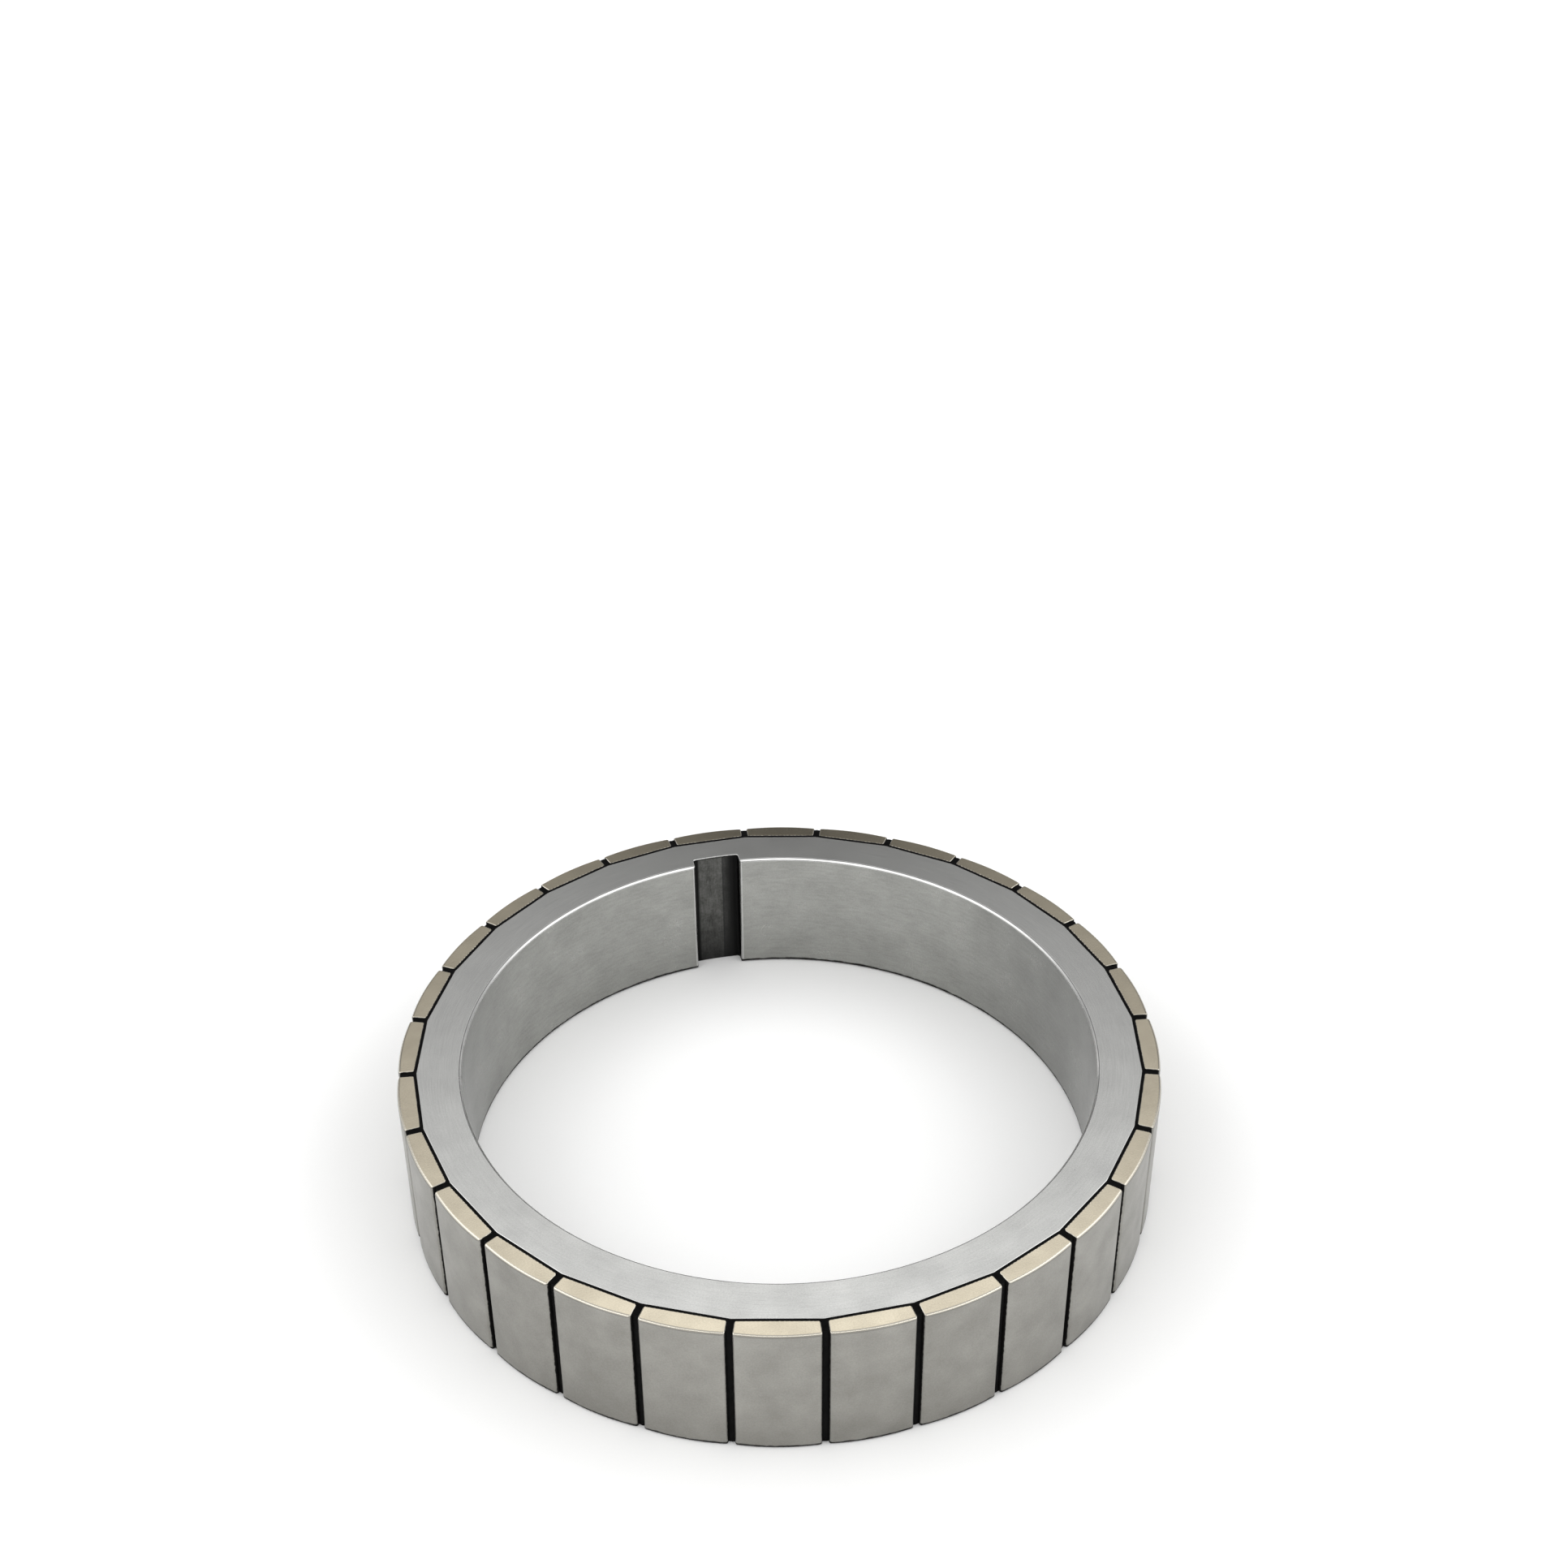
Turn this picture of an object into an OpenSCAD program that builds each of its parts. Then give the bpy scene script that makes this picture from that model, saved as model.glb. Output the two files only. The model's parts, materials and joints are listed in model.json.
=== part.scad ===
// Permanent magnet rotor: a keyed steel ring with a belt of magnets bonded round it.
// Millimetres. The ring lies on z = 0, its bore runs along Z and its keyway faces +Y.

/* [Rotor] */
// Length of the rotor along its bore
rotor_h = 23; // [12:0.5:60]
// Number of poles, one magnet each
pole_count = 28; // [20:2:36]

/* [Core] */
// Diameter of the bore
bore_d = 100; // [60:0.5:140]
// Steel between the bore and the middle of each flat
core_wall = 6.65; // [4:0.05:12]
// Chamfer at both ends of the bore
bore_chamfer = 0.35; // [0.1:0.05:1]

/* [Keyway] */
// Width of the keyway
keyway_w = 8; // [4:0.5:12]
// Depth of the keyway below the bore
keyway_depth = 2; // [1:0.1:2.5]
// Chamfer along both lips of the keyway
keyway_chamfer = 0.25; // [0.1:0.05:0.6]
// Radius in the two corners of the keyway's floor
keyway_corner_r = 0.4; // [0.2:0.05:0.8]

/* [Magnets] */
// Thickness of a magnet at the middle of its crown
magnet_t = 3; // [2:0.1:5]
// Radius of the crown, less than the rotor's own, so that the outline is gently scalloped
crown_r = 40; // [30:0.5:55]
// Gap between neighbouring magnets
magnet_gap = 1; // [0.4:0.05:1.5]
// Rounding of the two long edges of the crown and of its rims at both ends
crown_edge_r = 0.45; // [0.1:0.05:0.7]
// Rounding of the two long edges against the core
back_edge_r = 0.6; // [0.1:0.05:0.8]
// Rounding where the sides and the back meet the end faces
end_edge_r = 0.2; // [0.1:0.05:0.5]

/* [Adhesive] */
// Thickness of the bond line behind the magnets
bond_t = 0.35; // [0.1:0.05:0.5]
// How far the adhesive stops short of both end faces
adhesive_end_recess = 0.1; // [0.05:0.05:1]
// How far the adhesive in the gaps stops short of the rounding of the crowns
adhesive_rib_recess = 0.2; // [0.1:0.05:1]

/* [Hidden] */
function magnet_name(i) = str("magnet_", i < 10 ? "0" : "", i);

// Facets of a full turn, fine enough to stand for a true circle
$fn = 360;
// Steps in each small rounded edge
edge_steps = 4;
// What cuts runs past the surface that it cuts by this much
past = 1;

bore_r = bore_d / 2;
// Angle from one pole to the next
pole_angle = 360 / pole_count;
// Distances from the axis to the core's flats, to the corners between them, to the magnets' backs and
// to the tops of their crowns
core_flat_y = bore_r + core_wall;
core_corner_r = core_flat_y / cos(pole_angle / 2);
magnet_back_y = core_flat_y + bond_t;
rotor_r = magnet_back_y + magnet_t;

// The magnets are worked out with their middle at +Y. The side at +X is a plane along the middle of
// the gap, half a gap away from it: this is its direction outwards, and the way into the magnet.
side_out = [sin(pole_angle / 2), cos(pole_angle / 2)];
side_in = [-side_out.y, side_out.x];
// The point that lies inset inside that side and along outwards from the axis
function side_point(inset, along) = side_in * (magnet_gap / 2 + inset) + side_out * along;
// How far along the line at that inset reaches the height y, and the circle of radius r about centre
function along_to_y(inset, y) = (y - side_point(inset, 0).y) / side_out.y;
function along_to_circle(inset, centre, r) =
    let (start = side_point(inset, 0) - centre, half_b = start * side_out)
    sqrt(half_b * half_b - start * start + r * r) - half_b;

// A rounded edge, as points from one angle to another about its centre
function arc_points(centre, r, from, to) = [
    for (k = [0:edge_steps])
        let (a = from + (to - from) * k / edge_steps)
        centre + r * [cos(a), sin(a)]
];
// A half outline on the +X side, completed by its mirror image
function both_halves(half) =
    concat(half, [for (k = [len(half) - 1:-1:0]) [-half[k].x, half[k].y]]);
function angle_of(v) = atan2(v.y, v.x);

crown_centre = [0, rotor_r - crown_r];
back_edge_centre = side_point(back_edge_r, along_to_y(back_edge_r, magnet_back_y + back_edge_r));
crown_edge_centre =
    side_point(crown_edge_r, along_to_circle(crown_edge_r, crown_centre, crown_r - crown_edge_r));
back_edge = arc_points(back_edge_centre, back_edge_r, -90, -pole_angle / 2);
crown_edge = arc_points(crown_edge_centre, crown_edge_r,
    -pole_angle / 2, angle_of(crown_edge_centre - crown_centre));
// Radius at which the side of a magnet ends and the rounding of its crown begins
side_end_r = norm(crown_edge[0]);

// A magnet seen along the bore, open past its crown, which the barrel below closes
module magnet_outline() {
    open_end = [crown_edge[edge_steps].x, rotor_r + past];
    polygon(both_halves(concat(back_edge, crown_edge, [open_end])));
}

// The crown's arc as a barrel about its own axis, with both rims rounded
module crown_barrel() {
    rim_r = crown_r - crown_edge_r;
    translate(crown_centre) rotate_extrude() polygon(concat(
        [[0, 0]],
        arc_points([rim_r, crown_edge_r], crown_edge_r, -90, 0),
        arc_points([rim_r, rotor_h - crown_edge_r], crown_edge_r, 0, 90),
        [[0, rotor_h]]
    ));
}

// What comes off along a straight edge at both ends. The edge starts at the origin and runs at right
// angles to inward, the angle of the way into the magnet.
module round_end_edges(inward, length) {
    profile = concat(
        [[end_edge_r, -past], [-past, -past], [-past, end_edge_r]],
        arc_points([end_edge_r, end_edge_r], end_edge_r, 180, 270)
    );
    for (top = [0, 1])
        translate([0, 0, top * rotor_h]) mirror([0, 0, top])
            rotate([0, 0, inward]) rotate([90, 0, 0]) linear_extrude(length) polygon(profile);
}

// One bread-loaf magnet: a flat back, two flat sides and an arched crown
module bread_loaf() {
    half_w = crown_edge[0].x;
    side_start = along_to_y(0, magnet_back_y - past);
    side_length = rotor_r + past - side_start;
    difference() {
        intersection() {
            linear_extrude(rotor_h) magnet_outline();
            crown_barrel();
        }
        for (side = [0, 1])
            mirror([side, 0, 0]) translate(side_point(0, side_start))
                round_end_edges(angle_of(side_in), side_length);
        translate([-half_w, magnet_back_y]) round_end_edges(90, 2 * half_w);
    }
}

// A magnet in its place, counted anticlockwise from the one behind the keyway
module magnet(i) {
    color("#a5a49d") rotate([0, 0, (i - 1) * pole_angle]) bread_loaf();
}

// The outside of the core: one flat for each magnet, with a corner under each gap
module core_outline() {
    polygon([
        for (i = [1:pole_count])
            let (a = (i - 0.5) * pole_angle)
            core_corner_r * [cos(90 + a), sin(90 + a)]
    ]);
}

// The slot for the key: eased lips, rounded corners and a floor concentric with the bore
module keyway_outline() {
    half_w = keyway_w / 2;
    floor_r = bore_r + keyway_depth;
    lip_y = sqrt(pow(bore_r, 2) - pow(half_w, 2));
    corner_x = half_w - keyway_corner_r;
    corner_centre = [corner_x, sqrt(pow(floor_r - keyway_corner_r, 2) - pow(corner_x, 2))];
    corner = arc_points(corner_centre, keyway_corner_r, 0, angle_of(corner_centre));
    intersection() {
        circle(r = floor_r);
        polygon(both_halves(concat(
            [[half_w + keyway_chamfer + past, lip_y - past], [half_w, lip_y + keyway_chamfer]],
            corner,
            [[corner[edge_steps].x, floor_r + past]]
        )));
    }
}

// The steel back-iron ring
module rotor_core() {
    color("#b9babb") difference() {
        linear_extrude(rotor_h) core_outline();
        translate([0, 0, -past]) cylinder(r = bore_r, h = rotor_h + 2 * past);
        for (top = [0, 1])
            translate([0, 0, top * rotor_h]) mirror([0, 0, top]) translate([0, 0, -past])
                cylinder(
                    r1 = bore_r + bore_chamfer + past,
                    r2 = bore_r - past,
                    h = bore_chamfer + 2 * past
                );
        translate([0, 0, -past]) linear_extrude(rotor_h + 2 * past) keyway_outline();
    }
}

// The cured adhesive: a thin bond line on every flat of the core, and a rib in each gap
module bonding_adhesive() {
    color("#17171a") translate([0, 0, adhesive_end_recess])
        linear_extrude(rotor_h - 2 * adhesive_end_recess) difference() {
            circle(r = side_end_r - adhesive_rib_recess);
            core_outline();
            for (i = [1:pole_count])
                rotate(i * pole_angle) magnet_outline();
        }
}

rotor_core();
bonding_adhesive();
for (i = [1:pole_count])
    magnet(i);
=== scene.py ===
import json
import math
import random

import bmesh
import bpy
from mathutils import Matrix, Vector


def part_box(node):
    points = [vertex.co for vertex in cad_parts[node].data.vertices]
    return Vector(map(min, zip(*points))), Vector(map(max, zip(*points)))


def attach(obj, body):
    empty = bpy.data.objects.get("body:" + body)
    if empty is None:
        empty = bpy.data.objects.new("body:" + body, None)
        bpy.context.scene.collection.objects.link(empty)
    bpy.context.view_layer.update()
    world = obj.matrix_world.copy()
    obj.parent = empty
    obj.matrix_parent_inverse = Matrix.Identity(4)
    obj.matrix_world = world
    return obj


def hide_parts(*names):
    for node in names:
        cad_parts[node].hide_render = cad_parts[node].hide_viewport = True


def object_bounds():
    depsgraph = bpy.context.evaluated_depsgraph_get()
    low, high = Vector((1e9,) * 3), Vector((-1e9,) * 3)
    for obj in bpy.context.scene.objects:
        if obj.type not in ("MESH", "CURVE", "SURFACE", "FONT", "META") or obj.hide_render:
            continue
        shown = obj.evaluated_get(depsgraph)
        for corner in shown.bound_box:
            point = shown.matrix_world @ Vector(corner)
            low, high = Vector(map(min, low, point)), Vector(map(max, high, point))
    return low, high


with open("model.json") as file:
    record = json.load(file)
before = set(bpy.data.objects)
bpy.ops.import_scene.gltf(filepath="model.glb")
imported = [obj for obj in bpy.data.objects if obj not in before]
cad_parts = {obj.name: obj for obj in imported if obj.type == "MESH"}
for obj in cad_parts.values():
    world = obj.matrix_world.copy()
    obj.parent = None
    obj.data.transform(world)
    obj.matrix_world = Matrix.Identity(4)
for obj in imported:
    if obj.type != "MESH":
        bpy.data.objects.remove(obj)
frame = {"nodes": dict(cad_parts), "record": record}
cad_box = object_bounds()

# Sizes in metres, read from the frame where it holds them
mm = 0.001
height = cad_box[1].z
magnet_names = sorted(name for name in frame["nodes"] if name.startswith("magnet_"))
pole_angle = math.tau / len(magnet_names)
half_pole = pole_angle / 2
bore_mount = next(mount for mount in frame["record"]["mounts"] if mount["name"] == "bore")
bore_r = bore_mount["dims"]["r_mm"] * mm
flat_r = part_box("rotor_core")[1].y
magnet_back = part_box("magnet_01")[0].y
rotor_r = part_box("magnet_01")[1].y

# Steel core
bore_chamfer = 0.35 * mm
core_edge = 0.12 * mm
core_edge_steps = 2
bore_steps = 336
keyway_w = 8 * mm
keyway_depth = 2 * mm
keyway_corner_r = 0.4 * mm
keyway_corner_steps = 4
keyway_chamfer = 0.25 * mm
keyway_steps = 12

# Magnets
magnet_gap = 1 * mm
crown_edge = 0.45 * mm
back_edge = 0.6 * mm
end_edge = 0.2 * mm
magnet_edge_steps = 4
crown_r = 40 * mm
crown_steps = 18
shade_seed = 7

# Adhesive
adhesive_recess = 0.11 * mm
adhesive_overlap = 0.15 * mm
adhesive_rib_r = 59.22 * mm
adhesive_wave = 0.16 * mm
adhesive_wave_length = 1.6 * mm
adhesive_crease = math.radians(50)
bond_line_cuts = 23
rib_cuts = 7
depth_cuts = 15

# Room taken by rounding when places are compared
touching = 0.001 * mm
cut_touching = 0.0001 * mm
# The surface turns by more than this at a sharp edge, and by less between two facets
sharp_angle = math.radians(35)


# Modelling by hand in edit mode
def deselect_all():
    bpy.ops.object.select_all(action="DESELECT")


def work_on(piece):
    deselect_all()
    piece.select_set(True)
    bpy.context.view_layer.objects.active = piece


def edit_mesh():
    bpy.ops.object.mode_set(mode="EDIT")


def leave_mesh():
    bpy.ops.object.mode_set(mode="OBJECT")


def pick_all():
    bpy.ops.mesh.select_all(action="SELECT")


def pick(kind, wanted):
    """Select the vertices, edges or faces that are wanted, and nothing else."""
    bpy.ops.mesh.select_mode(type=kind)
    bpy.ops.mesh.select_all(action="DESELECT")
    mesh = bmesh.from_edit_mesh(bpy.context.edit_object.data)
    parts = {"VERT": mesh.verts, "EDGE": mesh.edges, "FACE": mesh.faces}[kind]
    for part in parts:
        if wanted(part):
            part.select_set(True)
    mesh.select_flush_mode()
    bmesh.update_edit_mesh(bpy.context.edit_object.data)


def every_corner(part, test):
    return all(test(vertex.co) for vertex in part.verts)


def radius_of(point):
    return math.hypot(point.x, point.y)


def runs_along(edge, axis, length):
    """Whether an edge gets further than a length along an axis, which is 0, 1 or 2 for X, Y or Z."""
    return abs(edge.verts[0].co[axis] - edge.verts[1].co[axis]) > length


def is_sharp(edge):
    return edge.calc_face_angle() > sharp_angle


def outwards(angle):
    """The direction out of the ring at an angle clockwise from the keyway."""
    return Vector((math.sin(angle), math.cos(angle), 0))


def give_share(share, wanted):
    """Let the wanted edges take a share of the width that the piece's edges are rounded by."""
    pick("EDGE", wanted)
    bpy.ops.transform.edge_bevelweight(value=share)


def ease_edges(piece, width, steps, edge_slot=0, by_share=False):
    """Round the edges that have a share, or else all sharp ones, and shade the rest evenly."""
    work_on(piece)
    rounding = piece.modifiers.new("rounding", "BEVEL")
    rounding.limit_method = "WEIGHT" if by_share else "ANGLE"
    rounding.angle_limit = sharp_angle
    rounding.width = width
    rounding.segments = steps
    rounding.harden_normals = True
    rounding.material = edge_slot
    rounding.use_clamp_overlap = False
    bpy.ops.object.shade_smooth_by_angle(angle=sharp_angle)
    bpy.ops.object.modifier_apply(modifier=rounding.name)


def hand_over(piece, name, node):
    """Name a finished piece and let it ride with the rotor in place of its CAD node."""
    piece.name = name
    piece.data.name = name
    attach(piece, "root")
    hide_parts(node)


def arched_block(arc_r, arc_centre, half_w, back, back_half_w, low, high, steps):
    """A block under an arc: an upright edge is swept along the arc, then drawn back to a flat."""
    lean = math.asin(half_w / arc_r)
    tall = high - low
    side = arc_centre + arc_r * math.cos(lean)
    deselect_all()
    bpy.ops.mesh.primitive_plane_add(
        size=tall,
        location=(-half_w - tall / 2, side, (low + high) / 2),
        rotation=(math.pi / 2, 0, 0),
    )
    block = bpy.context.active_object
    bpy.ops.object.transform_apply(location=True, rotation=True, scale=True)
    edit_mesh()
    pick("VERT", lambda vertex: vertex.co.x < -half_w - tall / 2)
    bpy.ops.mesh.delete(type="VERT")
    pick_all()
    bpy.ops.mesh.spin(steps=steps, angle=2 * lean, center=(0, arc_centre, 0), axis=(0, 0, 1))
    pick_all()
    bpy.ops.mesh.extrude_region_move()
    bpy.ops.transform.resize(value=(back_half_w / half_w, 0, 1), center_override=(0, back, 0))
    pick_all()
    bpy.ops.mesh.normals_make_consistent(inside=False)
    leave_mesh()
    return block


# The steel core
def turned_blank():
    """The core as it leaves the lathe: its chamfered section spun round the bore."""
    allowance = 1 * mm
    blank_r = flat_r / math.cos(half_pole) + allowance
    deselect_all()
    bpy.ops.mesh.primitive_plane_add(
        size=1,
        location=((bore_r + blank_r) / 2, 0, height / 2),
        rotation=(math.pi / 2, 0, 0),
    )
    blank = bpy.context.active_object
    blank.scale = (blank_r - bore_r, height, 1)
    bpy.ops.object.transform_apply(location=True, rotation=True, scale=True)
    edit_mesh()
    pick("VERT", lambda vertex: vertex.co.x < bore_r + touching)
    bpy.ops.mesh.bevel(offset=bore_chamfer, segments=1, affect="VERTICES")
    pick_all()
    bpy.ops.mesh.delete(type="ONLY_FACE")
    bpy.ops.mesh.select_mode(type="EDGE")
    pick_all()
    bpy.ops.mesh.spin(steps=bore_steps, angle=math.tau, center=(0, 0, 0), axis=(0, 0, 1))
    pick_all()
    bpy.ops.mesh.remove_doubles(threshold=touching)
    bpy.ops.mesh.normals_make_consistent(inside=False)
    leave_mesh()
    return blank


def mill_flats(core):
    """One flat for each magnet."""
    work_on(core)
    edit_mesh()
    for pole in range(len(magnet_names)):
        direction = outwards(pole * pole_angle)
        pick_all()
        bpy.ops.mesh.bisect(
            plane_co=direction * flat_r,
            plane_no=direction,
            use_fill=True,
            clear_outer=True,
            threshold=cut_touching,
        )
    leave_mesh()


def broach_keyway(core):
    """The slot for the key, with round corners in its floor and a chamfer on both lips."""
    half_w = keyway_w / 2
    past = 1 * mm
    broach = arched_block(
        arc_r=bore_r + keyway_depth,
        arc_centre=0,
        half_w=half_w,
        back=bore_r - 2 * past,
        back_half_w=half_w,
        low=-past,
        high=height + past,
        steps=keyway_steps,
    )
    work_on(broach)
    edit_mesh()

    def on_wall(point):
        return abs(abs(point.x) - half_w) < touching

    pick("EDGE", lambda edge: every_corner(edge, lambda p: on_wall(p) and p.y > bore_r))
    bpy.ops.mesh.bevel(offset=keyway_corner_r, segments=keyway_corner_steps, affect="EDGES")
    leave_mesh()
    work_on(core)
    cut = core.modifiers.new("keyway", "BOOLEAN")
    cut.object = broach
    cut.operation = "DIFFERENCE"
    cut.solver = "EXACT"
    bpy.ops.object.modifier_apply(modifier=cut.name)
    bpy.data.objects.remove(broach)
    edit_mesh()

    def on_lip(point):
        return on_wall(point) and point.y > 0 and abs(radius_of(point) - bore_r) < 0.1 * mm

    pick("EDGE", lambda edge: every_corner(edge, on_lip))
    bpy.ops.mesh.bevel(offset=keyway_chamfer, segments=1, affect="EDGES")
    leave_mesh()


def in_keyway(face):
    """Whether a face belongs to the walls or the floor of the keyway."""
    centre = face.calc_center_median()
    between_walls = centre.y > 0 and abs(centre.x) < keyway_w / 2 + touching
    past_lips = radius_of(centre) > bore_r + keyway_chamfer
    short_of_rim = radius_of(centre) < bore_r + keyway_depth + core_edge
    return between_walls and past_lips and short_of_rim and abs(face.normal.z) < 0.2


def is_chamfer(face):
    return 0.3 < abs(face.normal.z) < 0.95


def steel_core(steel, edges, blackened):
    """Turned, milled and broached, with bright edges and a dark keyway."""
    core = turned_blank()
    mill_flats(core)
    broach_keyway(core)
    for finish in (steel, edges, blackened):
        core.data.materials.append(finish)
    edge_slot, keyway_slot = 1, 2
    ease_edges(core, core_edge, core_edge_steps, edge_slot=edge_slot)
    work_on(core)
    edit_mesh()
    for slot, wanted in ((edge_slot, is_chamfer), (keyway_slot, in_keyway)):
        pick("FACE", wanted)
        core.active_material_index = slot
        bpy.ops.object.material_slot_assign()
    leave_mesh()
    hand_over(core, "ground_core", "rotor_core")


# The magnets
def back_half_width():
    return (magnet_back * math.sin(half_pole) - magnet_gap / 2) / math.cos(half_pole)


def crown_half_width():
    """Where the side of a magnet, half a gap from the plane between two poles, meets the crown."""
    along = Vector((math.sin(half_pole), math.cos(half_pole)))
    inwards = Vector((-along.y, along.x))
    start = inwards * magnet_gap / 2 - Vector((0, rotor_r - crown_r))
    half_b = start.dot(along)
    reached = math.sqrt(half_b ** 2 - start.length_squared + crown_r ** 2) - half_b
    return (start + along * reached).x


def magnets(plating):
    """One bread-loaf magnet is modelled, and a copy is turned to each pole."""
    pattern = arched_block(
        arc_r=crown_r,
        arc_centre=rotor_r - crown_r,
        half_w=crown_half_width(),
        back=magnet_back,
        back_half_w=back_half_width(),
        low=0,
        high=height,
        steps=crown_steps,
    )
    work_on(pattern)
    edit_mesh()

    def on_crown(point):
        return abs(math.hypot(point.x, point.y - rotor_r + crown_r) - crown_r) < touching

    def on_back(point):
        return point.y < magnet_back + touching

    def is_upright(edge):
        return runs_along(edge, 2, height / 2)

    def at_end(edge):
        return not is_upright(edge) and not every_corner(edge, on_crown)

    give_share(end_edge / back_edge, at_end)
    give_share(crown_edge / back_edge, lambda edge: every_corner(edge, on_crown) and is_sharp(edge))
    give_share(1, lambda edge: is_upright(edge) and every_corner(edge, on_back))
    leave_mesh()
    ease_edges(pattern, back_edge, magnet_edge_steps, by_share=True)
    pattern.data.materials.append(plating)
    shades = random.Random(shade_seed)
    for pole, node in enumerate(magnet_names):
        magnet = pattern.copy()
        magnet.data = pattern.data.copy()
        magnet.data.transform(Matrix.Rotation(pole * pole_angle, 4, "Z"))
        bpy.context.scene.collection.objects.link(magnet)
        value = shades.uniform(-1, 1)
        for point in magnet.data.attributes.new("shade", "FLOAT", "POINT").data:
            point.value = value
        hand_over(magnet, "plated_" + node, node)
    bpy.data.objects.remove(pattern)


# The adhesive
def outline_of_one_share():
    """Seen from above: the bond line behind one magnet, with half a rib at each end."""
    inner = flat_r - adhesive_overlap
    outer = magnet_back + adhesive_overlap
    deselect_all()
    bpy.ops.mesh.primitive_plane_add(
        size=1, location=(0, (inner + outer) / 2, height - adhesive_recess))
    share = bpy.context.active_object
    share.scale = (3 * outer * math.tan(half_pole), outer - inner, 1)
    bpy.ops.object.transform_apply(location=True, rotation=True, scale=True)
    edit_mesh()
    for side in (-1, 1):
        across_gap = Vector((side * math.cos(half_pole), -math.sin(half_pole), 0))
        rib_edge = -across_gap * (magnet_gap / 2 + adhesive_overlap)
        pick_all()
        bpy.ops.mesh.bisect(
            plane_co=(0, 0, 0), plane_no=across_gap, clear_outer=True, threshold=cut_touching)
        pick_all()
        bpy.ops.mesh.bisect(plane_co=rib_edge, plane_no=across_gap, threshold=cut_touching)
    rib_length = adhesive_rib_r - outer / math.cos(half_pole)
    for side in (-1, 1):
        direction = outwards(side * half_pole) * rib_length
        beside_rib = side * (back_half_width() - 2 * adhesive_overlap)

        def on_rib(point):
            return point.y > outer - touching and side * (point.x - beside_rib) > 0

        pick("EDGE", lambda edge: every_corner(edge, on_rib))
        bpy.ops.mesh.extrude_region_move(TRANSFORM_OT_translate={"value": direction})
    return share


def on_plane_between_poles(point):
    return abs(abs(point.x) * math.cos(half_pole) - point.y * math.sin(half_pole)) < touching


def adhesive(epoxy):
    """One share is subdivided, given depth and repeated round the core, and its skin is disturbed."""
    share = outline_of_one_share()
    pick("EDGE", lambda edge: runs_along(edge, 0, 2 * mm))
    bpy.ops.mesh.subdivide(number_cuts=bond_line_cuts)
    pick("EDGE", lambda edge: runs_along(edge, 1, 1 * mm))
    bpy.ops.mesh.subdivide(number_cuts=rib_cuts)
    bpy.ops.mesh.select_mode(type="FACE")
    pick_all()
    bpy.ops.mesh.subdivide(number_cuts=1)
    pick_all()
    depth = height - 2 * adhesive_recess
    bpy.ops.mesh.extrude_region_move(TRANSFORM_OT_translate={"value": (0, 0, -depth)})
    pick("EDGE", lambda edge: runs_along(edge, 2, 1 * mm))
    bpy.ops.mesh.subdivide(number_cuts=depth_cuts)
    pick("FACE", lambda face: every_corner(face, on_plane_between_poles))
    bpy.ops.mesh.delete(type="FACE")
    pick_all()
    bpy.ops.mesh.spin(
        steps=len(magnet_names), angle=math.tau, dupli=True, center=(0, 0, 0), axis=(0, 0, 1))
    pick_all()
    bpy.ops.mesh.remove_doubles(threshold=touching)
    bpy.ops.mesh.normals_make_consistent(inside=False)
    low = adhesive_recess + touching
    pick("VERT", lambda vertex: not low < vertex.co.z < height - low)
    bpy.ops.object.vertex_group_assign_new()
    share.vertex_groups[-1].name = "ends"
    pick("VERT", lambda vertex: radius_of(vertex.co) > adhesive_rib_r - touching)
    bpy.ops.object.vertex_group_assign_new()
    share.vertex_groups[-1].name = "ribs"
    leave_mesh()
    waves = bpy.data.textures.new("adhesive waves", "CLOUDS")
    waves.noise_scale = adhesive_wave_length
    for group in ("ends", "ribs"):
        disturb = share.modifiers.new(group, "DISPLACE")
        disturb.texture = waves
        disturb.vertex_group = group
        disturb.strength = adhesive_wave
        bpy.ops.object.modifier_apply(modifier=disturb.name)
    share.data.materials.append(epoxy)
    bpy.ops.object.shade_smooth_by_angle(angle=adhesive_crease)
    hand_over(share, "cured_adhesive", "bonding_adhesive")


# Building blocks of the materials
def add_node(tree, kind, **settings):
    node = tree.nodes.new(kind)
    for name, value in settings.items():
        setattr(node, name, value)
    return node


def feed(tree, socket, value):
    """Give a socket either a link from another socket or a plain value."""
    if isinstance(value, bpy.types.NodeSocket):
        tree.links.new(value, socket)
    else:
        socket.default_value = value


def maths(tree, operation, *values):
    """The result of one math operation."""
    node = add_node(tree, "ShaderNodeMath", operation=operation)
    for socket, value in zip(node.inputs, values):
        feed(tree, socket, value)
    return node.outputs["Value"]


def remap(tree, value, low, high, to_low=0.0, to_high=1.0):
    """Carry a value from one range to another, held at both ends."""
    node = add_node(tree, "ShaderNodeMapRange", clamp=True)
    for name, part in (
        ("Value", value),
        ("From Min", low),
        ("From Max", high),
        ("To Min", to_low),
        ("To Max", to_high),
    ):
        feed(tree, node.inputs[name], part)
    return node.outputs["Result"]


def mix_colours(tree, factor, first, second):
    """A colour between two others."""
    node = add_node(tree, "ShaderNodeMix", data_type="RGBA")
    factor_socket = next(s for s in node.inputs if s.name == "Factor" and s.type == "VALUE")
    first_socket, second_socket = (s for s in node.inputs if s.type == "RGBA")
    feed(tree, factor_socket, factor)
    feed(tree, first_socket, first)
    feed(tree, second_socket, second)
    return next(s for s in node.outputs if s.type == "RGBA")


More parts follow.
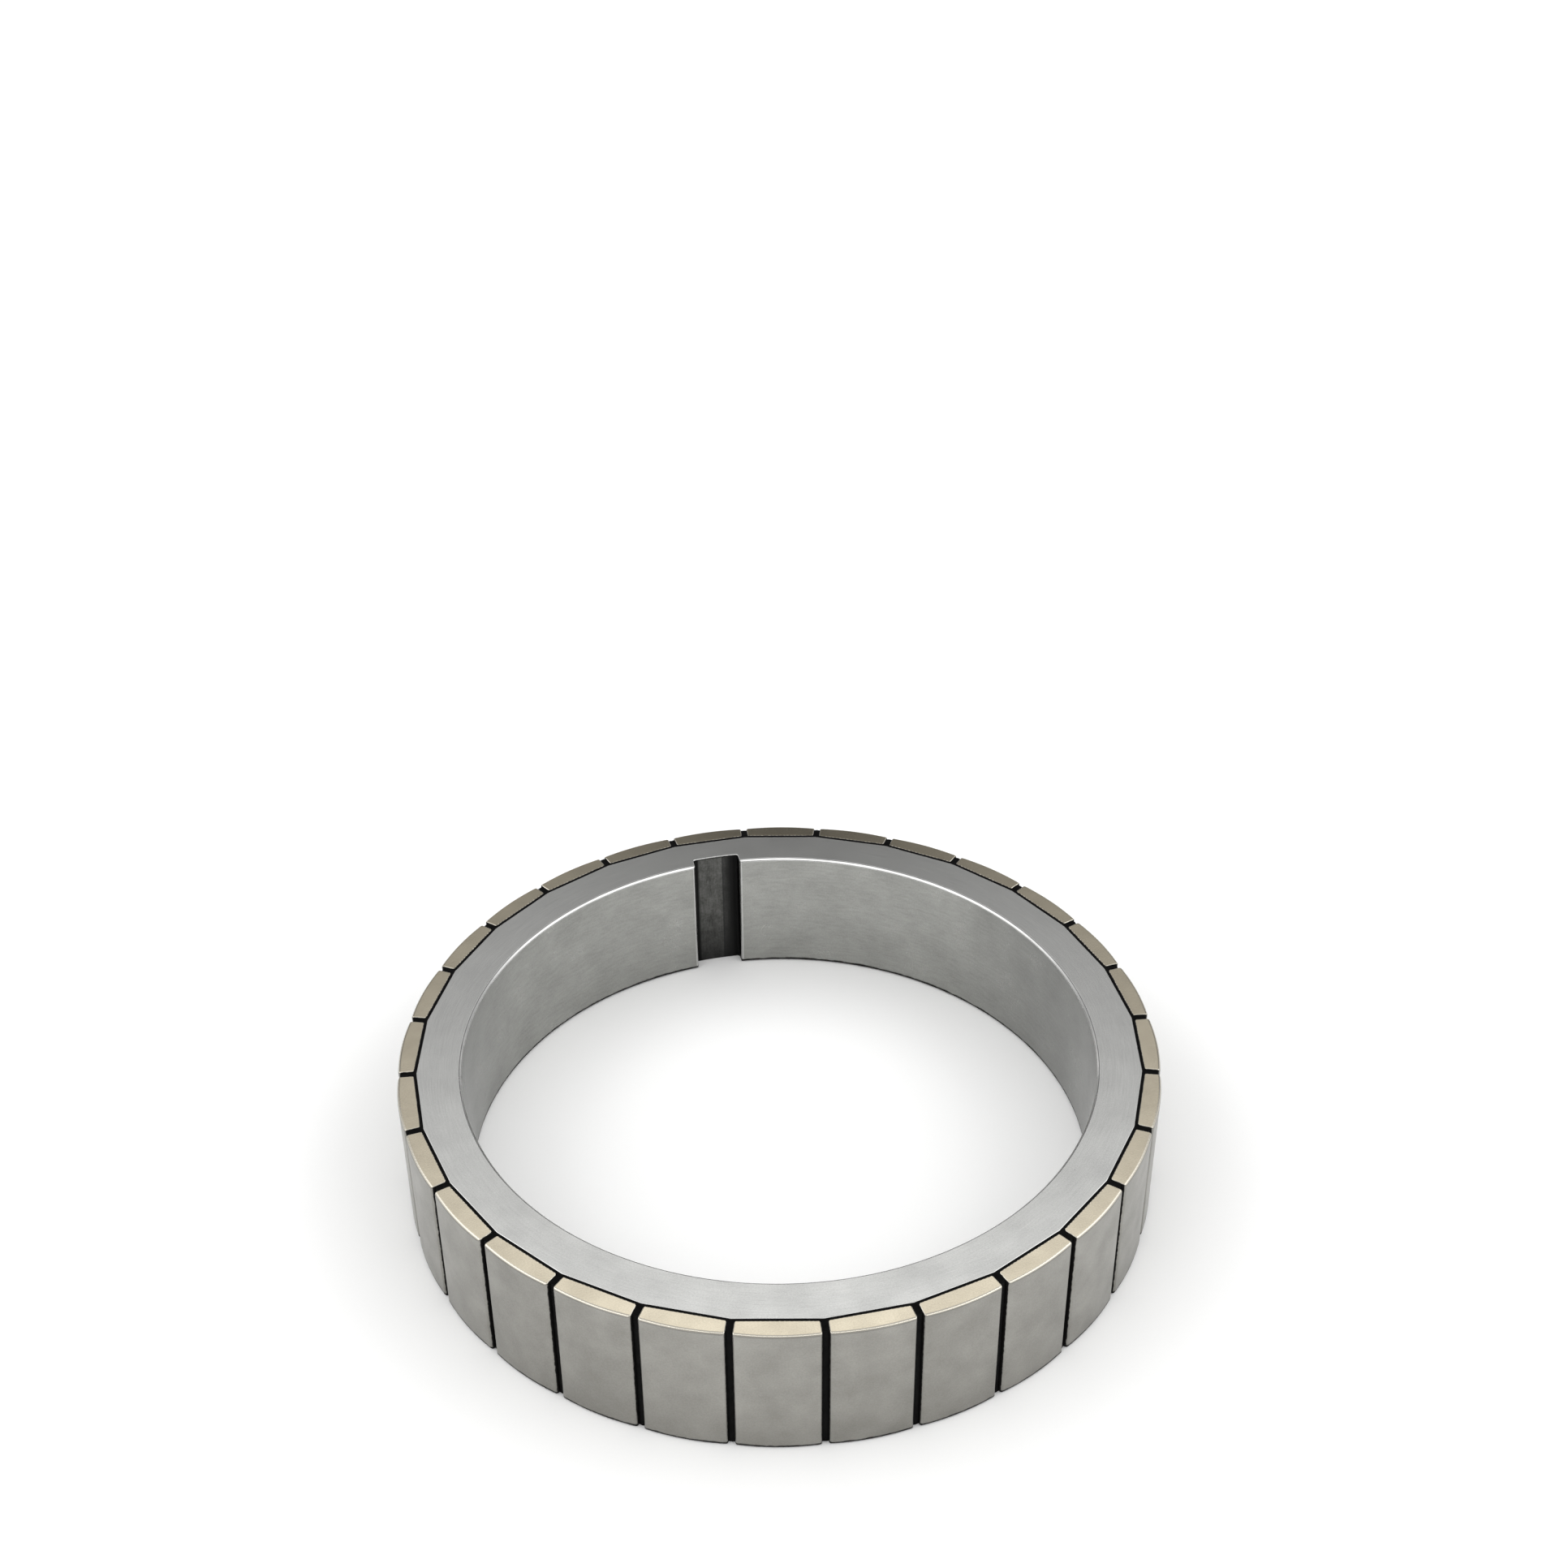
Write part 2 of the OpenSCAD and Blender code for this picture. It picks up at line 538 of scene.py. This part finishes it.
def noise(tree, coordinates, size, detail=2.0):
    """Noise whose features are about as wide as size, in metres."""
    node = add_node(tree, "ShaderNodeTexNoise")
    feed(tree, node.inputs["Vector"], coordinates)
    feed(tree, node.inputs["Scale"], maths(tree, "DIVIDE", 1.0, size))
    node.inputs["Detail"].default_value = detail
    return node.outputs["Fac"]


def split(tree, vector):
    """A vector's parts, as sockets named X, Y and Z."""
    node = add_node(tree, "ShaderNodeSeparateXYZ")
    feed(tree, node.inputs[0], vector)
    return node.outputs


def blend(tree, factor, first, second):
    """A value between two others."""
    node = add_node(tree, "ShaderNodeMix", data_type="FLOAT")
    for name, value in (("Factor", factor), ("A", first), ("B", second)):
        feed(tree, node.inputs[name], value)
    return node.outputs["Result"]


def grey(level):
    return (level, level, level, 1)


def shader_group(name, inputs, outputs):
    """A node group with named sockets: the group itself, and its inputs and outputs as seen inside."""
    group = bpy.data.node_groups.new(name, "ShaderNodeTree")
    for label, (kind, value) in inputs.items():
        socket = group.interface.new_socket(name=label, in_out="INPUT", socket_type=kind)
        if value is not None:
            socket.default_value = value
    for label, kind in outputs.items():
        group.interface.new_socket(name=label, in_out="OUTPUT", socket_type=kind)
    entry = group.nodes.new("NodeGroupInput")
    leave = group.nodes.new("NodeGroupOutput")
    return group, entry.outputs, leave.inputs


def use_group(tree, group, **values):
    """Place a group, with an underscore in a name standing for a space."""
    node = add_node(tree, "ShaderNodeGroup", node_tree=group)
    for name, value in values.items():
        feed(tree, node.inputs[name.replace("_", " ")], value)
    return node.outputs


def mottle_group():
    """Soft patches of tone over fine grain, both round one half."""
    group, given, result = shader_group(
        "mottle",
        {
            "Coordinates": ("NodeSocketVector", None),
            "Patch Size": ("NodeSocketFloat", 4 * mm),
            "Grain Size": ("NodeSocketFloat", 0.4 * mm),
            "Grain Share": ("NodeSocketFloat", 0.3),
        },
        {"Tone": "NodeSocketFloat"},
    )
    patches = noise(group, given["Coordinates"], given["Patch Size"], 3.0)
    grain = noise(group, given["Coordinates"], given["Grain Size"])
    feed(group, result["Tone"], blend(group, given["Grain Share"], patches, grain))
    return group


def lathe_group():
    """Fine marks left by turning and grinding: short arcs on the faces and in the bore."""
    group, given, result = shader_group(
        "lathe marks",
        {
            "Coordinates": ("NodeSocketVector", None),
            "Width": ("NodeSocketFloat", 0.25 * mm),
            "Arcs": ("NodeSocketFloat", 50.0),
        },
        {"Tone": "NodeSocketFloat"},
    )
    parts = split(group, given["Coordinates"])
    flat = add_node(group, "ShaderNodeCombineXYZ")
    feed(group, flat.inputs["X"], parts["X"])
    feed(group, flat.inputs["Y"], parts["Y"])
    length = add_node(group, "ShaderNodeVectorMath", operation="LENGTH")
    feed(group, length.inputs[0], flat.outputs[0])
    travel = maths(group, "ADD", length.outputs["Value"], parts["Z"])
    around = maths(group, "DIVIDE", given["Arcs"], length.outputs["Value"])
    scale = maths(group, "DIVIDE", around, math.tau)
    unrolled = add_node(group, "ShaderNodeCombineXYZ")
    feed(group, unrolled.inputs["X"], maths(group, "MULTIPLY", parts["X"], scale))
    feed(group, unrolled.inputs["Y"], maths(group, "MULTIPLY", parts["Y"], scale))
    feed(group, unrolled.inputs["Z"], maths(group, "DIVIDE", travel, given["Width"]))
    feed(group, result["Tone"], noise(group, unrolled.outputs[0], 1.0, 3.0))
    return group


def foot_group():
    """Painted shade: a thin dark line just above the face that the rotor lies on, where the contact
    shadow falls.
    """
    group, given, result = shader_group(
        "grime at the foot",
        {
            "Coordinates": ("NodeSocketVector", None),
            "Height": ("NodeSocketFloat", 0.3 * mm),
        },
        {"Mask": "NodeSocketFloat"},
    )
    parts = split(group, given["Coordinates"])
    level = noise(group, given["Coordinates"], 1.5 * mm)
    top = maths(group, "MULTIPLY", given["Height"], remap(group, level, 0.3, 0.7, 0.85, 1.15))
    fade = remap(group, parts["Z"], maths(group, "MULTIPLY", top, 0.7), top, 1.0, 0.0)
    clear_of_face = remap(group, parts["Z"], 0.001 * mm, 0.02 * mm)
    feed(group, result["Mask"], maths(group, "MULTIPLY", fade, clear_of_face))
    return group


def pole_group():
    """How far a point lies from the middle of a gap, out along its pole and from the axis."""
    group, given, result = shader_group(
        "place among the poles",
        {"Coordinates": ("NodeSocketVector", None)},
        {"From Gap": "NodeSocketFloat", "Out": "NodeSocketFloat", "Radius": "NodeSocketFloat"},
    )
    parts = split(group, given["Coordinates"])
    x, y = parts["X"], parts["Y"]
    past_pole = maths(group, "WRAP", maths(group, "ARCTAN2", x, y), half_pole, -half_pole)
    squares = maths(group, "MULTIPLY_ADD", x, x, maths(group, "MULTIPLY", y, y))
    radius = maths(group, "SQRT", squares)
    before_gap = maths(group, "SUBTRACT", half_pole, maths(group, "ABSOLUTE", past_pole))
    feed(group, result["From Gap"], maths(group, "MULTIPLY", radius, maths(group, "SINE", before_gap)))
    feed(group, result["Out"], maths(group, "MULTIPLY", radius, maths(group, "COSINE", past_pole)))
    feed(group, result["Radius"], radius)
    return group


def speck_group():
    """A few small round specks. The width is a share of the spacing."""
    group, given, result = shader_group(
        "specks",
        {
            "Coordinates": ("NodeSocketVector", None),
            "Spacing": ("NodeSocketFloat", 3 * mm),
            "Share": ("NodeSocketFloat", 0.3),
            "Width": ("NodeSocketFloat", 0.06),
        },
        {"Mask": "NodeSocketFloat"},
    )
    cells = add_node(group, "ShaderNodeTexVoronoi")
    feed(group, cells.inputs["Vector"], given["Coordinates"])
    feed(group, cells.inputs["Scale"], maths(group, "DIVIDE", 1.0, given["Spacing"]))
    lot = add_node(group, "ShaderNodeSeparateColor")
    feed(group, lot.inputs[0], cells.outputs["Color"])
    drawn = maths(group, "LESS_THAN", lot.outputs["Red"], given["Share"])
    own_width = maths(group, "MULTIPLY", given["Width"], lot.outputs["Green"])
    dot = remap(group, cells.outputs["Distance"], 0.0, own_width, 1.0, 0.0)
    feed(group, result["Mask"], maths(group, "MULTIPLY", drawn, dot))
    return group


# The materials
# Dull near-black laid on metal, for smeared adhesive and for painted shade
soil_and_shade = (0.012, 0.0115, 0.011, 1)


def new_material(name):
    """A material, its node tree, its shader's inputs and the coordinates on the object."""
    material = bpy.data.materials.new(name)
    material.use_nodes = True
    tree = material.node_tree
    place = add_node(tree, "ShaderNodeTexCoord")
    return material, tree, tree.nodes["Principled BSDF"].inputs, place.outputs["Object"]


def bump(tree, height_map, depth):
    """A normal that follows a height between 0 and 1, of a depth in metres."""
    node = add_node(tree, "ShaderNodeBump")
    node.inputs["Distance"].default_value = depth
    feed(tree, node.inputs["Height"], height_map)
    return node.outputs["Normal"]


def facing_up(tree):
    """How far the surface lies flat, from 0 on a wall to 1 on an end face."""
    surface = add_node(tree, "ShaderNodeNewGeometry")
    return maths(tree, "ABSOLUTE", split(tree, surface.outputs["Normal"])["Z"])


def bare_metal(tree, skin, colour, dirt_and_shade):
    """Metal of a colour, dull and near black where the mask asks: smeared adhesive, and painted shade.
    """
    feed(tree, skin["Base Color"], mix_colours(tree, dirt_and_shade, colour, soil_and_shade))
    feed(tree, skin["Metallic"], maths(tree, "SUBTRACT", 1.0, dirt_and_shade))
    skin["Specular IOR Level"].default_value = 0.05


def ground_steel(effects):
    """The faces are ground brighter and smoother than the bore; the walls carry painted shade towards
    both sides and at the foot.
    """
    material, tree, skin, place = new_material("ground steel")
    on_end = remap(tree, facing_up(tree), 0.3, 0.9)
    patches = use_group(
        tree, effects["mottle"], Coordinates=place, Patch_Size=6 * mm, Grain_Size=0.25 * mm,
        Grain_Share=0.45)["Tone"]
    grinding = use_group(tree, effects["lathe"], Coordinates=place, Width=0.16 * mm, Arcs=70)["Tone"]
    honing = use_group(tree, effects["lathe"], Coordinates=place, Width=0.45 * mm, Arcs=150)["Tone"]
    marks = blend(tree, on_end, honing, grinding)
    pits = use_group(
        tree, effects["specks"], Coordinates=place, Spacing=4 * mm, Share=0.2, Width=0.04)["Mask"]
    # Painted shade at the foot of the walls
    painted_shade = use_group(tree, effects["foot"], Coordinates=place, Height=0.8 * mm)["Mask"]
    tone = blend(tree, 0.32, patches, marks)
    level = remap(tree, tone, 0.3, 0.7)
    face_level = remap(tree, tone, 0.35, 0.65)
    honed = mix_colours(tree, level, (0.268, 0.27, 0.255, 1), (0.4, 0.402, 0.384, 1))
    # Painted shade: the walls darken towards both sides, from 38 mm to 50 mm off the middle
    to_one_side = maths(tree, "ABSOLUTE", split(tree, place)["X"])
    in_shade = remap(tree, to_one_side, 38 * mm, 50 * mm, 0.0, 0.45)
    in_bore = mix_colours(tree, in_shade, honed, grey(0.15))
    on_face = mix_colours(tree, face_level, (0.425, 0.426, 0.415, 1), (0.525, 0.526, 0.512, 1))
    bright = mix_colours(tree, on_end, in_bore, on_face)
    pitted = mix_colours(tree, pits, bright, (0.15, 0.145, 0.14, 1))
    bare_metal(tree, skin, pitted, painted_shade)
    rough = remap(tree, patches, 0.3, 0.7, 0.34, 0.26)
    feed(tree, skin["Roughness"], maths(tree, "MULTIPLY", rough, blend(tree, on_end, 1.0, 0.78)))
    relief = maths(tree, "MULTIPLY", tone, blend(tree, on_end, 1.0, 0.3))
    feed(tree, skin["Normal"], bump(tree, relief, 0.008 * mm))
    return material


def burnished_and_highlit_edges(effects):
    """Chamfers and eased edges, cut last and burnished bright, their light colour partly a painted
    highlight, a little duller here and there, with a painted dark line along the outer rim of the bore
    chamfer.
    """
    material, tree, skin, place = new_material("burnished edges with painted highlight")
    rubs = use_group(
        tree, effects["mottle"], Coordinates=place, Patch_Size=7 * mm, Grain_Size=1.5 * mm,
        Grain_Share=0.25)["Tone"]
    level = remap(tree, rubs, 0.35, 0.65)
    # Painted highlight over real burnishing: the edges are coloured lighter than the faces
    highlit_edge = mix_colours(tree, level, (0.5, 0.5, 0.49, 1), (0.66, 0.66, 0.65, 1))
    # Painted shade at the foot of the chamfers
    painted_shade = use_group(tree, effects["foot"], Coordinates=place, Height=0.8 * mm)["Mask"]
    poles = use_group(tree, effects["poles"], Coordinates=place)
    # Painted shade: a thin dark line along the outer rim of the bore chamfer
    from_rim = maths(tree, "ABSOLUTE", maths(tree, "SUBTRACT", poles["Radius"], bore_r + bore_chamfer))
    rim_shade_line = remap(tree, from_rim, 0.03 * mm, 0.09 * mm, 0.8, 0.0)
    bare_metal(tree, skin, highlit_edge, maths(tree, "MAXIMUM", painted_shade, rim_shade_line))
    feed(tree, skin["Roughness"], remap(tree, rubs, 0.3, 0.7, 0.3, 0.2))
    feed(tree, skin["Normal"], bump(tree, rubs, 0.01 * mm))
    return material


def blackened_and_shaded_keyway(effects):
    """The keyway keeps the dark scale that was ground off the bore; painted shade darkens it to one
    side, in the corners, towards the bottom and just under the top, with a dark upright line and a
    darker upright strip on the floor.
    """
    material, tree, skin, place = new_material("blackened keyway with painted shade")
    parts = split(tree, place)
    stretch = add_node(tree, "ShaderNodeMapping")
    stretch.inputs["Scale"].default_value = (1, 1, 0.15)
    feed(tree, stretch.inputs["Vector"], place)
    streaks = use_group(
        tree, effects["mottle"], Coordinates=stretch.outputs[0], Patch_Size=1.2 * mm,
        Grain_Size=0.25 * mm, Grain_Share=0.45)["Tone"]
    smudges = use_group(
        tree, effects["mottle"], Coordinates=place, Patch_Size=2.5 * mm, Grain_Size=0.35 * mm,
        Grain_Share=0.5)["Tone"]
    tone = maths(tree, "MULTIPLY", maths(tree, "ADD", streaks, smudges), 0.5)
    level = remap(tree, tone, 0.38, 0.62)
    scale = mix_colours(tree, level, (0.055, 0.055, 0.051, 1), (0.14, 0.14, 0.134, 1))
    # Painted shade from here on, laid over the scale by place in the keyway
    across = parts["X"]
    from_dark_line = maths(tree, "ABSOLUTE", maths(tree, "SUBTRACT", across, 1.25 * mm))
    dark_line = remap(tree, from_dark_line, 0.05 * mm, 0.16 * mm, 0.5, 0.0)
    band = remap(tree, across, 1.15 * mm, 1.3 * mm, 0.0, 0.68)
    side = remap(tree, across, 1.6 * mm, 2.7 * mm, 0.0, 0.97)
    below = remap(tree, parts["Z"], 1 * mm, 11 * mm, 0.76, 0.0)
    corner = remap(tree, maths(tree, "ABSOLUTE", across), 2.9 * mm, 3.3 * mm, 0.0, 0.98)
    under_top = remap(tree, parts["Z"], height - 0.42 * mm, height - 0.2 * mm, 0.0, 0.95)
    for share, darker in (
        (dark_line, grey(0.02)),
        (band, grey(0.02)),
        (side, grey(0.008)),
        (below, grey(0.012)),
        (corner, grey(0.003)),
        (under_top, grey(0.003)),
    ):
        scale = mix_colours(tree, share, scale, darker)
    feed(tree, skin["Base Color"], scale)
    feed(tree, skin["Roughness"], remap(tree, tone, 0.3, 0.7, 0.5, 0.36))
    feed(tree, skin["Normal"], bump(tree, tone, 0.02 * mm))
    skin["Metallic"].default_value = 0.8
    skin["Specular IOR Level"].default_value = 0.3
    return material


def nickel_plate(effects):
    """Satin nickel, warmer on the ends, with adhesive smeared beside the bond line and the ribs; a
    painted highlight runs along the rims, and painted shade lies just under the rims, low on the
    crowns and at the foot.
    """
    material, tree, skin, place = new_material("satin nickel plate")
    patches = use_group(
        tree, effects["mottle"], Coordinates=place, Patch_Size=5 * mm, Grain_Size=0.25 * mm,
        Grain_Share=0.35)["Tone"]
    shade = add_node(tree, "ShaderNodeAttribute", attribute_name="shade")
    own_tone = maths(tree, "MULTIPLY_ADD", shade.outputs["Fac"], 0.06, patches)
    level = remap(tree, own_tone, 0.3, 0.7)
    # Painted shade: the crowns darken towards the bottom
    shade_low_down = remap(tree, split(tree, place)["Z"], 1 * mm, 10 * mm, 0.2, 0.0)
    unshaded_crown = mix_colours(tree, level, (0.257, 0.251, 0.231, 1), (0.357, 0.349, 0.325, 1))
    crown = mix_colours(tree, shade_low_down, unshaded_crown, (0.17, 0.164, 0.146, 1))
    end = mix_colours(tree, level, (0.435, 0.391, 0.305, 1), (0.55, 0.497, 0.389, 1))
    up = facing_up(tree)
    on_end = remap(tree, up, 0.35, 0.95)
    # Painted highlight along the rounded rim between end and crown
    rim = maths(
        tree, "MULTIPLY", remap(tree, up, 0.5, 0.7, 0.0, 0.9), remap(tree, up, 0.97, 0.995, 1.0, 0.0))
    # Painted shade: a thin dark line on the crown just under the rim highlight
    shade_under_rim = maths(
        tree, "MULTIPLY", remap(tree, up, 0.08, 0.2, 0.0, 0.5), remap(tree, up, 0.3, 0.45, 1.0, 0.0))
    marks = use_group(
        tree, effects["specks"], Coordinates=place, Spacing=5 * mm, Share=0.3, Width=0.05)["Mask"]
    # Painted shade at the foot of the magnets
    painted_shade = use_group(tree, effects["foot"], Coordinates=place, Height=0.7 * mm)["Mask"]
    plate = mix_colours(tree, on_end, crown, end)
    # The painted highlight's colour on the rim
    highlit_edge = mix_colours(tree, rim, plate, (0.57, 0.54, 0.47, 1))
    with_rim_shade = mix_colours(tree, shade_under_rim, highlit_edge, (0.12, 0.115, 0.105, 1))
    marked = mix_colours(tree, marks, with_rim_shade, (0.2, 0.19, 0.17, 1))
    poles = use_group(tree, effects["poles"], Coordinates=place)
    ragged = remap(tree, noise(tree, place, 0.8 * mm), 0.3, 0.7, -0.03 * mm, 0.03 * mm)
    beside = maths(tree, "ADD", poles["From Gap"], ragged)
    behind = maths(tree, "ADD", poles["Out"], ragged)
    smeared = maths(
        tree, "MAXIMUM",
        remap(tree, beside, magnet_gap / 2 + 0.04 * mm, magnet_gap / 2 + 0.1 * mm, 1.0, 0.0),
        remap(tree, behind, magnet_back + 0.1 * mm, magnet_back + 0.17 * mm, 1.0, 0.0),
    )
    bare_metal(tree, skin, marked, maths(tree, "MAXIMUM", painted_shade, smeared))
    rough = remap(tree, patches, 0.3, 0.7, 0.38, 0.3)
    feed(tree, skin["Roughness"], maths(tree, "MULTIPLY", rough, blend(tree, on_end, 1.0, 0.5)))
    feed(tree, skin["Normal"], bump(tree, patches, 0.01 * mm))
    return material


def black_epoxy(effects):
    """Cured black adhesive, matt and a little dusty."""
    material, tree, skin, place = new_material("black epoxy")
    patches = use_group(
        tree, effects["mottle"], Coordinates=place, Patch_Size=1.2 * mm, Grain_Size=0.2 * mm,
        Grain_Share=0.4)["Tone"]
    dust = use_group(
        tree, effects["specks"], Coordinates=place, Spacing=1.5 * mm, Share=0.15, Width=0.08)["Mask"]
    resin = mix_colours(tree, remap(tree, patches, 0.3, 0.7), grey(0.001), (0.004, 0.0039, 0.0038, 1))
    feed(tree, skin["Base Color"], mix_colours(tree, dust, resin, (0.04, 0.038, 0.036, 1)))
    feed(tree, skin["Roughness"], remap(tree, patches, 0.3, 0.7, 0.65, 0.45))
    feed(tree, skin["Normal"], bump(tree, patches, 0.05 * mm))
    skin["Specular IOR Level"].default_value = 0.04
    return material


# The studio
def floor_paper():
    material, tree, skin, place = new_material("floor paper")
    grain = noise(tree, place, 0.5 * mm)
    white = mix_colours(tree, grain, (0.94, 0.94, 0.935, 1), (0.96, 0.96, 0.955, 1))
    feed(tree, skin["Base Color"], white)
    skin["Roughness"].default_value = 0.9
    skin["Specular IOR Level"].default_value = 0.1
    return material


def floor():
    deselect_all()
    bpy.ops.mesh.primitive_circle_add(vertices=96, radius=8, fill_type="NGON")
    paper = bpy.context.active_object
    paper.name = "floor"
    paper.data.materials.append(floor_paper())


# The light is set up round the way that the picture looks
picture_azimuth = math.radians(-12.47)
away_from_camera = Vector((-math.sin(picture_azimuth), math.cos(picture_azimuth), 0))


def sky():
    """A pale room with a softbox at each side and a dim wall behind, dimmest in the middle."""
    world = bpy.data.worlds.new("studio")
    bpy.context.scene.world = world
    world.use_nodes = True
    tree = world.node_tree
    direction = add_node(tree, "ShaderNodeTexCoord").outputs["Generated"]
    parts = split(tree, direction)

    def levels(stops):
        """Light by elevation, as pairs of degrees and strength."""
        ramp = add_node(tree, "ShaderNodeValToRGB")
        feed(tree, ramp.inputs["Fac"], parts["Z"])
        marks = ramp.color_ramp.elements
        while len(marks) < len(stops):
            marks.new(0.5)
        for mark, (degrees, strength) in zip(marks, stops):
            mark.position = math.sin(math.radians(degrees))
            mark.color = grey(strength)
        return ramp.outputs["Color"]

    def along(axis):
        """How far the direction points along an axis."""
        node = add_node(tree, "ShaderNodeVectorMath", operation="DOT_PRODUCT")
        feed(tree, node.inputs[0], direction)
        node.inputs[1].default_value = axis
        return node.outputs["Value"]

    front = levels([(0, 1.0), (12, 0.9), (22, 0.45), (34, 0.45), (48, 0.6), (90, 0.85)])
    sides = levels([
        (0, 1.2), (12, 1.15), (20, 0.9), (28, 1.6), (34, 2.3), (56, 2.3), (64, 1.0), (90, 0.85),
    ])
    behind = levels([
        (0, 1.0), (8, 0.95), (13, 0.28), (34.5, 0.28), (38, 0.6), (42, 0.85), (45, 1.3), (48.5, 2.0),
        (58, 2.0), (90, 0.85),
    ])
    middle = levels([
        (0, 1.0), (8, 0.95), (13, 0.0), (36.5, 0.0), (39, 0.45), (42, 0.8), (45, 1.3), (48.5, 2.0),
        (58, 2.0), (90, 0.85),
    ])
    sideways = maths(tree, "ABSOLUTE", along(away_from_camera.cross(Vector((0, 0, 1)))))
    rear = mix_colours(tree, remap(tree, sideways, 0.02, 0.11), middle, behind)
    around = mix_colours(tree, remap(tree, sideways, 0.35, 0.6), front, sides)
    share = remap(tree, along(away_from_camera), 0.3, 0.7)
    feed(tree, tree.nodes["Background"].inputs["Color"], mix_colours(tree, share, around, rear))


def key_light():
    """A long softbox high in front, which draws the bright lines on the chamfers."""
    rise = math.radians(57)
    distance = 0.9
    lamp = bpy.data.lights.new("key", "AREA")
    lamp.shape = "RECTANGLE"
    lamp.size = 1.0
    lamp.size_y = 0.26
    lamp.energy = 1.25
    holder = bpy.data.objects.new("key", lamp)
    bpy.context.scene.collection.objects.link(holder)
    direction = -away_from_camera * math.cos(rise) + Vector((0, 0, math.sin(rise)))
    holder.location = direction * distance
    holder.rotation_mode = "QUATERNION"
    holder.rotation_quaternion = direction.to_track_quat("Z", "Y")


def camera():
    """The picture's camera, placed by where the middle of the upper face lies in the picture."""
    picture_px = 1932
    focal_px = 2691.1
    middle_px = Vector((959.94, 1287.66))
    elevation = math.radians(34.191)
    roll = math.radians(-0.477)
    distance = 346.0 * mm

    data = bpy.data.cameras.new("camera")
    data.sensor_width = 36
    data.lens = focal_px / picture_px * data.sensor_width
    data.clip_start = 10 * mm
    data.clip_end = 30
    view = bpy.data.objects.new("camera", data)
    bpy.context.scene.collection.objects.link(view)
    bpy.context.scene.camera = view

    back = -away_from_camera * math.cos(elevation) + Vector((0, 0, math.sin(elevation)))
    level = Vector((math.cos(picture_azimuth), math.sin(picture_azimuth), 0))
    upright = back.cross(level)
    right = level * math.cos(roll) + upright * math.sin(roll)
    up = upright * math.cos(roll) - level * math.sin(roll)
    off = (middle_px - Vector((picture_px, picture_px)) / 2) / focal_px * distance
    spot = Vector((0, 0, height)) + back * distance - right * off.x + up * off.y
    turn = Matrix((right, up, back)).transposed().to_4x4()
    view.matrix_world = Matrix.Translation(spot) @ turn


effects = {
    "mottle": mottle_group(),
    "lathe": lathe_group(),
    "specks": speck_group(),
    "foot": foot_group(),
    "poles": pole_group(),
}
steel_core(ground_steel(effects), burnished_and_highlit_edges(effects), blackened_and_shaded_keyway(effects))
magnets(nickel_plate(effects))
adhesive(black_epoxy(effects))
floor()
sky()
key_light()
camera()
bpy.context.scene.view_settings.view_transform = "Standard"
